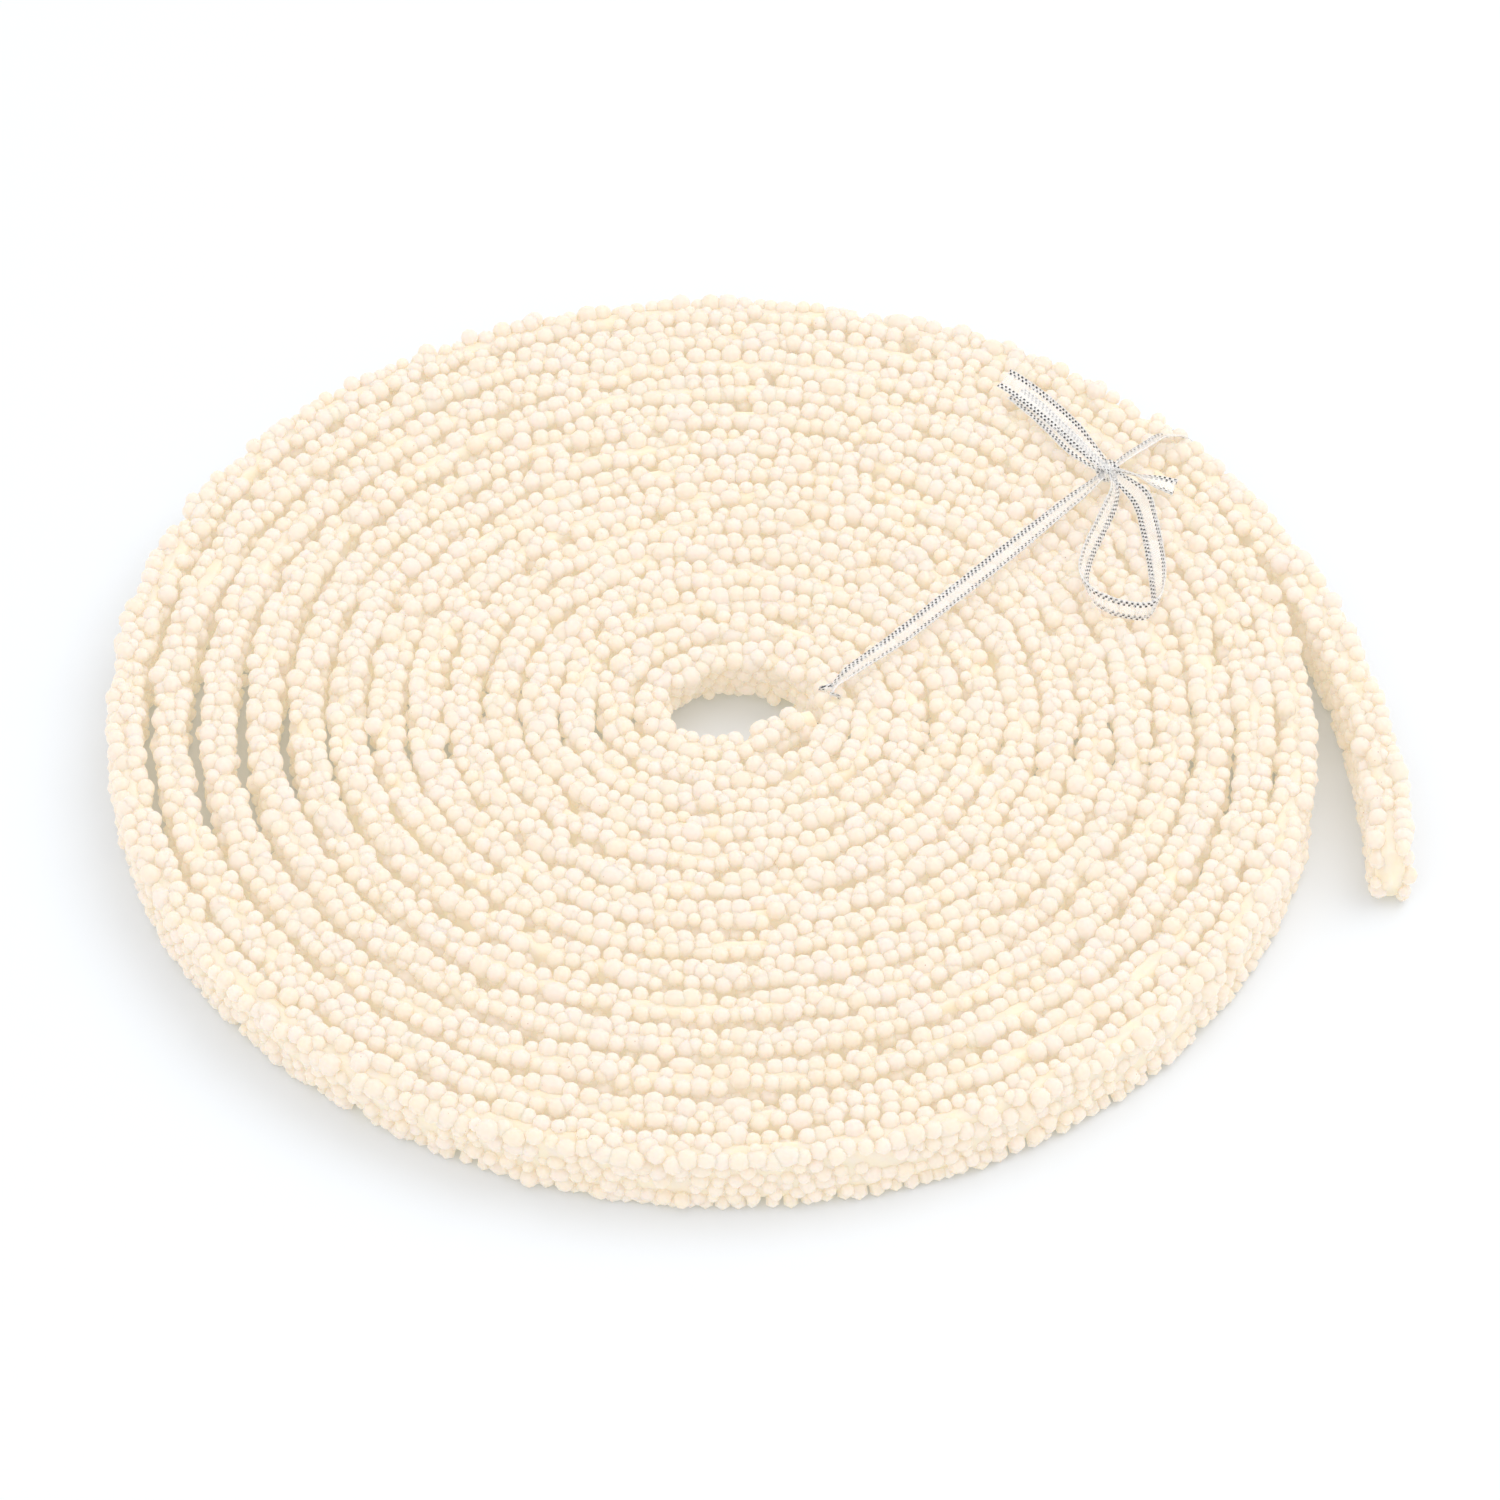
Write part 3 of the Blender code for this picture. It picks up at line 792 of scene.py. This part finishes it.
def ribbon_material(colours):
    """Sheer white cloth with two lines of dark silver stitches along each edge, painted sparkle on the
    silver and a painted glow given off by the cloth.

    The UV map holds metres along the ribbon and the share of its width.
    """
    shader = Shader("sheer_ribbon")
    uv = shader.node("ShaderNodeUVMap", {"uv_map": "ribbon"}).outputs["UV"]
    parts = shader.node("ShaderNodeSeparateXYZ", Vector=uv)
    along = shader.value(parts.outputs["X"])
    across = shader.value(parts.outputs["Y"])
    inward = (across - 0.5).distance() * 2.0
    edge = inward.between(*EDGE_RANGE)
    rows = (inward - EDGE_RANGE[0]) / ROW_WIDTH
    stitch = ((along / STITCH_PITCH + (rows > 1.0) * 0.5).fraction() - 0.5).distance()
    in_line = (rows.fraction() - 0.5).distance()
    dots = (1.0 - stitch.between(*STITCH_EDGE)) * (1.0 - in_line.between(*ROW_EDGE)) * edge
    warp = ((across / WARP_PITCH).fraction() - 0.5).distance().between(*THREAD_EDGE)
    weft = ((along / WEFT_PITCH).fraction() - 0.5).distance().between(*THREAD_EDGE)
    threads = warp.larger(weft)
    cover = (threads * THREAD_COVER + CLEAR_COVER).larger(edge * EDGE_COVER).larger(dots)
    place = shader.object_place()
    # Painted sparkle: bright patches of the cloth's colour over the dark silver of the stitches
    painted_sparkle_noise = shader.node("ShaderNodeTexNoise", Vector=place, Scale=PAINTED_SPARKLE_CELLS, Detail=1.0)
    painted_sparkle = shader.value(painted_sparkle_noise.outputs["Fac"]).between(*PAINTED_SPARKLE_RANGE)
    silver_with_painted_sparkle = shader.blend(painted_sparkle * 0.8, opaque(colours.silver), opaque(colours.ribbon))
    colour = shader.blend(dots, opaque(colours.ribbon), silver_with_painted_sparkle)
    bump = shader.node("ShaderNodeBump", Height=threads + dots * 0.6, Strength=0.4, Distance=0.0001)
    # Painted glow: the cloth gives off light of its own colour, stitches and painted sparkle included, to
    # keep it bright
    shader.set(
        Base_Color=colour,
        Roughness=0.6 - dots * 0.25,
        Emission_Color=colour,
        Emission_Strength=RIBBON_PAINTED_GLOW,
        Alpha=cover,
        Normal=bump.outputs["Normal"],
    )
    return shader.material


def plain_material(name, colour, roughness):
    shader = Shader(name)
    shader.set(Base_Color=opaque(colour), Roughness=roughness)
    return shader.material


# The pieces


def resin_mesh(line, sizes, material):
    """The resin: a rounded upright section, |x/a|^3 + |z/b|^3 = 1, carried along the band's line.

    Gives the object and the middle of its section at each ring.
    """
    count = int(line.length / sizes.station)
    distance = np.linspace(0.0, line.length, count)
    corners = RESIN_CORNERS
    angle = 2 * math.pi * (np.arange(corners) + 0.5) / corners
    across = np.sign(np.cos(angle)) * np.abs(np.cos(angle)) ** (2 / RESIN_POWER)
    up = np.sign(np.sin(angle)) * np.abs(np.sin(angle)) ** (2 / RESIN_POWER)
    from_end = np.minimum(distance, line.length - distance)
    rounded = np.sqrt(1 - (1 - np.clip(from_end / RESIN_END_LENGTH, 0, 1)) ** 2)
    ends = rounded * (1 - RESIN_END_SIZE) + RESIN_END_SIZE
    half = (line.width(distance) / 2 - sizes.resin_inset) * ends
    tall = (sizes.height / 2 - sizes.resin_drop) * ends
    grid_across = half[:, None] * across[None, :]
    grid_up = tall[:, None] * up[None, :]
    along = np.repeat(distance, corners)
    vertices = line.in_frame(along, grid_across.ravel(), grid_up.ravel())
    vertices[:, 2] = np.maximum(vertices[:, 2], LOWEST_RESIN)
    middle = line.in_frame(distance, np.zeros(count), np.zeros(count))
    vertices = np.vstack([vertices, middle[[0, -1]]])
    quads = tube_faces(count, corners)
    corner = np.arange(corners)
    following = (corner + 1) % corners
    last = (count - 1) * corners
    first_cap = np.stack([np.full(corners, count * corners), following, corner], axis=1)
    last_cap = np.stack([np.full(corners, count * corners + 1), last + corner, last + following], axis=1)
    obj = mesh_object("resin_band", vertices, quads, material, np.vstack([first_cap, last_cap]))
    outward_faces(obj)
    return obj, middle


def outward_faces(obj):
    """Turns the faces of a closed mesh outward if its signed volume is negative."""
    mesh = obj.data
    mesh.calc_loop_triangles()
    corners = np.empty(3 * len(mesh.vertices))
    mesh.vertices.foreach_get("co", corners)
    corners = corners.reshape(-1, 3)
    faces = np.empty(3 * len(mesh.loop_triangles), int)
    mesh.loop_triangles.foreach_get("vertices", faces)
    a, b, c = (corners[faces.reshape(-1, 3)[:, place]] for place in range(3))
    if np.einsum("ij,ij->i", a, np.cross(b, c)).sum() < 0:
        mesh.flip_normals()


def bead_rows(line, beads, sizes):
    """Where each bead sits and how it is turned and scaled, collected for each piece and kind.

    Along a row the beads lie a pitch apart, give or take. Each has three axes: forward along the band,
    outward from its surface, and sideways, which is square to both.
    """
    random = np.random.default_rng(beads.seed)
    found = {}
    for name, side, inset, drop, filled, uneven, radius, stray, first, last, kind in ROWS:
        places = int(line.length / beads.pitch * SPARE_PLACES)
        steps = beads.pitch * random.normal(1.0, beads.pitch_change, places)
        distance = random.uniform(0, beads.pitch) + np.cumsum(np.clip(steps, *PITCH_LIMITS))
        distance = distance[distance < line.length - END_MARGIN]
        turn = line.turn(distance)
        patches = random.uniform(-1, 1, int(line.length / PATCH_LENGTH) + 2)
        share = filled + uneven * np.interp(distance / PATCH_LENGTH, np.arange(len(patches)), patches)
        kept = (turn >= first) & (turn < last) & (random.random(len(distance)) < share)
        distance = distance[kept]
        count = len(distance)
        half = line.width(distance) / 2
        across = side * (half - inset) + random.normal(0, stray, count)
        level = sizes.height / 2 - drop if drop > 0 else -sizes.height / 2 - drop
        stray_up = np.clip(random.normal(0, STRAY_UP * stray, count), -3 * stray, HIGHEST_STRAY)
        up = level + stray_up * (drop > 0)
        size = radius * np.clip(random.normal(1.0, beads.size_change, count), *SIZE_LIMITS)
        centre = line.in_frame(distance, across, up)
        forward = unit(line.in_frame(distance + BEAD_REACH, across, up) - centre)
        face = side if abs(drop) > TOP_ROW_DEPTH else SIDE_FACING * side
        rise = np.full(count, np.sign(drop) * (1 - abs(face)))
        outward = unit(np.column_stack([line.outward(distance) * face, rise]))
        sideways = np.cross(outward, forward)
        centre[:, 2] = np.maximum(centre[:, 2], size)
        drawn_out = random.random(count) < beads.long_share
        long = np.where(drawn_out, random.uniform(*LONG_LIMITS, count), 1.0)
        axes = np.stack(
            [
                forward * (size * long)[:, None],
                sideways * (size * random.uniform(*WIDE_LIMITS, count))[:, None],
                outward * (size * random.uniform(*DEEP_LIMITS, count))[:, None],
            ],
            axis=1,
        )
        found.setdefault((name, kind), []).append((centre, axes, random.random(count)))
    return found


def arc_length(points):
    """Distance along the points, from the first one."""
    return np.concatenate([[0.0], np.cumsum(np.linalg.norm(np.diff(points, axis=0), axis=1))])


def gathered(points, width, at_end):
    """The ribbon's width at each point: it grows evenly from a share of the full width at the knot."""
    distance = arc_length(points)
    away = np.minimum(distance, distance[-1] - distance) if at_end else distance
    return width * np.interp(away, (0.0, GATHER_LENGTH), (GATHERED, 1.0))


def ribbon_mesh(name, points, width_way, widths, sizes, material):
    """A thin strip, slightly dished, carried along the points.

    At a share s of the half width, from -1 to 1, each face is raised by DISH times (s^2 - DISH_LEVEL).
    """
    points = np.asarray(points, float)
    travel = unit(np.gradient(points, axis=0))
    width_way = unit(width_way - travel * np.einsum("ij,ij->i", width_way, travel)[:, None])
    thick_way = np.cross(width_way, travel)
    share = np.linspace(-1, 1, FACE_CORNERS)
    dish = DISH * (share**2 - DISH_LEVEL)
    upper = np.stack([share / 2, dish + sizes.thickness / 2], axis=1)
    lower = np.stack([share[::-1] / 2, dish[::-1] - sizes.thickness / 2], axis=1)
    section = np.vstack([upper, lower])
    rings = (
        points[:, None, :]
        + width_way[:, None, :] * section[None, :, :1] * widths[:, None, None]
        + thick_way[:, None, :] * section[None, :, 1:]
    )
    count, corners = rings.shape[:2]
    quads = tube_faces(count, corners)
    half = corners // 2
    strip = np.arange(half - 1)
    start_cap = np.stack([strip, corners - 1 - strip, corners - 2 - strip, strip + 1], axis=1)
    end_cap = (count - 1) * corners + start_cap[:, ::-1]
    obj = mesh_object(name, rings.reshape(-1, 3), np.vstack([quads, start_cap, end_cap]), material)
    outward_faces(obj)
    along = np.repeat(arc_length(points), corners)
    across = np.tile(section[:, 0] + 0.5, count)
    layer = obj.data.uv_layers.new(name="ribbon")
    loops = np.empty(len(obj.data.loops), int)
    obj.data.loops.foreach_get("vertex_index", loops)
    layer.data.foreach_set("uv", np.stack([along[loops], across[loops]], axis=1).ravel())
    return obj


def strand_line(rows, step):
    """Points and width directions along one strand of the bow: the smooth curve through its table."""
    rows = np.array(rows, float)
    rows = np.vstack([2 * rows[0] - rows[1], rows, 2 * rows[-1] - rows[-2]])
    length = np.linalg.norm(np.diff(rows[1:-1, :3], axis=0), axis=1).sum()
    place = np.linspace(1.0, len(rows) - 2.0, max(FEWEST_STRAND_RINGS, int(length / step)))
    line = through(rows, place)
    points = line[:, :3] + np.array([*COIL_CENTRE, 0.0])
    tilt = np.radians(line[:, 3])[:, None]
    travel = unit(np.gradient(points, axis=0))
    level = unit(np.cross(travel, (0.0, 0.0, 1.0)))
    upright = np.cross(level, travel)
    return points, level * np.cos(tilt) + upright * np.sin(tilt)


def ring_line(step):
    """Points and width directions of the ribbon's ring, straight between the rows of its table."""
    rows = np.array(RING)
    distance = arc_length(rows[:, :3])
    fine = np.linspace(0, distance[-1], int(distance[-1] / step))
    line = np.stack([np.interp(fine, distance, column) for column in rows.T], axis=1)
    tilt = np.radians(line[:, 3])[:, None]
    side = np.array([math.sin(RING_BEARING), -math.cos(RING_BEARING), 0.0])
    width_way = side * np.cos(tilt) + np.array([0, 0, 1]) * np.sin(tilt)
    return line[:, :3] + np.array([*COIL_CENTRE, 0.0]), width_way


def knot_line(step):
    """Points and width directions of the short wrap that is the knot: an ellipse across the ribbon."""
    count = max(FEWEST_KNOT_RINGS, int(2 * math.pi * max(KNOT_SIZE) / step))
    angle = np.linspace(0, 2 * math.pi, count)
    side = np.array([math.sin(RING_BEARING), -math.cos(RING_BEARING)])
    level = np.add(KNOT_CENTRE[:2], COIL_CENTRE) + np.cos(angle)[:, None] * KNOT_SIZE[0] * side
    height = KNOT_CENTRE[2] + KNOT_SIZE[1] * np.sin(angle)
    along = (math.cos(RING_BEARING), math.sin(RING_BEARING), 0.0)
    return np.column_stack([level, height]), np.tile(along, (count, 1))


def settle(obj, slot_name, *nodes):
    """Puts a piece on the frame's one body and hides the nodes of the frame that it stands for."""
    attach(obj, "root")
    if nodes:
        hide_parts(*nodes)


class GARLAND_OT_band(bpy.types.Operator):
    """Make the resin band and all its beads."""

    bl_idname = "garland.band"
    bl_label = "Band and beads"

    def execute(self, context):
        scene = context.scene
        line = BandLine(scene.garland_band)
        resin, path = resin_mesh(line, scene.garland_band, resin_material(scene.garland_colours))
        settle(resin, "beads", "bead_band")
        material = bead_material(scene.garland_colours)
        for (name, kind), groups in bead_rows(line, scene.garland_beads, scene.garland_band).items():
            shape = round_bead(*BEAD_FACETS[kind])
            centres, axes, tints = (np.concatenate(parts) for parts in zip(*groups))
            corners, quads, triangles = copies(shape, centres, axes)
            tint = np.repeat(tints, len(shape[0]))
            obj = mesh_object(name, corners, quads, material, triangles, {"tint": tint})
            outward_faces(obj)
            settle(obj, "beads", "bead_band")
        return {"FINISHED"}


class GARLAND_OT_ribbon(bpy.types.Operator):
    """Make the ribbon's ring, bow and knot."""

    bl_idname = "garland.ribbon"
    bl_label = "Ribbon"

    def execute(self, context):
        scene = context.scene
        sizes = scene.garland_ribbon
        material = ribbon_material(scene.garland_colours)
        points, way = ring_line(sizes.step)
        widths = gathered(points, sizes.width, at_end=True)
        ring = ribbon_mesh("ribbon_ring", points, way, widths, sizes, material)
        settle(ring, "ribbon", "ribbon_tie")
        made = {}
        lines = {}
        for name, rows in STRANDS.items():
            lines[name] = strand_line(rows, sizes.step)
            widths = gathered(lines[name][0], sizes.width, at_end=name == "front_loop")
            made[name] = ribbon_mesh("ribbon_" + name, *lines[name], widths, sizes, material)
            settle(made[name], "ribbon", "ribbon_tie")
        wrap, way = knot_line(sizes.step / 2)
        knot = ribbon_mesh("ribbon_knot", wrap, way, np.full(len(wrap), KNOT_WIDTH), sizes, material)
        settle(knot, "ribbon", "ribbon_tie")
        return {"FINISHED"}


class GARLAND_OT_stage(bpy.types.Operator):
    """Set the pale floor, the soft light and the camera."""

    bl_idname = "garland.stage"
    bl_label = "Stage"

    def execute(self, context):
        scene = context.scene
        scene.view_settings.view_transform = "Standard"
        floor_mesh = bpy.data.meshes.new("floor")
        corners = [(x * FLOOR_REACH, y * FLOOR_REACH, 0) for x, y in ((-1, -1), (1, -1), (1, 1), (-1, 1))]
        floor_mesh.from_pydata(corners, [], [(0, 1, 2, 3)])
        floor_mesh.materials.append(plain_material("floor", scene.garland_colours.floor, 0.9))
        floor = bpy.data.objects.new("floor", floor_mesh)
        scene.collection.objects.link(floor)

        world = bpy.data.worlds.new("studio")
        world.use_nodes = True
        background = world.node_tree.nodes["Background"]
        background.inputs["Color"].default_value = (1.0, 1.0, 1.0, 1.0)
        background.inputs["Strength"].default_value = WORLD_STRENGTH
        scene.world = world

        for name, place, size, power in LAMPS:
            lamp = bpy.data.lights.new(name, "AREA")
            lamp.shape = "DISK"
            lamp.size = size
            lamp.energy = power
            obj = bpy.data.objects.new(name, lamp)
            obj.location = place
            obj.rotation_euler = (-obj.location).to_track_quat("-Z", "Y").to_euler()
            scene.collection.objects.link(obj)

        lens = bpy.data.cameras.new("camera")
        lens.sensor_width = SENSOR
        lens.lens = LENS
        lens.shift_x = PHOTO_SHIFT[0] / PHOTO_SIZE
        lens.shift_y = PHOTO_SHIFT[1] / PHOTO_SIZE
        camera = bpy.data.objects.new("camera", lens)
        camera.location = (
            COIL_CENTRE[0],
            COIL_CENTRE[1] - CAMERA_DISTANCE * math.cos(CAMERA_RISE),
            CAMERA_AIM_HEIGHT + CAMERA_DISTANCE * math.sin(CAMERA_RISE),
        )
        camera.rotation_euler = (math.radians(90) - CAMERA_RISE, 0.0, 0.0)
        scene.collection.objects.link(camera)
        scene.camera = camera
        return {"FINISHED"}


class GARLAND_PT_panel(bpy.types.Panel):
    """The buttons and sizes in the sidebar."""

    bl_idname = "GARLAND_PT_panel"
    bl_label = "Bead Garland"
    bl_space_type = "VIEW_3D"
    bl_region_type = "UI"
    bl_category = "Garland"

    def draw(self, context):
        for operator in OPERATORS:
            self.layout.operator(operator.bl_idname)
        for group in GROUPS:
            box = self.layout.box()
            settings = getattr(context.scene, group)
            for name in settings.__annotations__:
                box.prop(settings, name)


GROUPS = {
    "garland_band": GarlandBandSizes,
    "garland_beads": GarlandBeadSizes,
    "garland_ribbon": GarlandRibbonSizes,
    "garland_colours": GarlandColours,
}
OPERATORS = (GARLAND_OT_band, GARLAND_OT_ribbon, GARLAND_OT_stage)
CLASSES = (*GROUPS.values(), *OPERATORS, GARLAND_PT_panel)


def register():
    for made in CLASSES:
        bpy.utils.register_class(made)
    for name, group in GROUPS.items():
        setattr(bpy.types.Scene, name, PointerProperty(type=group))


def unregister():
    for name in GROUPS:
        delattr(bpy.types.Scene, name)
    for made in reversed(CLASSES):
        bpy.utils.unregister_class(made)


def main():
    register()
    bpy.ops.garland.band()
    bpy.ops.garland.ribbon()
    bpy.ops.garland.stage()


if __name__ == "__main__":
    main()
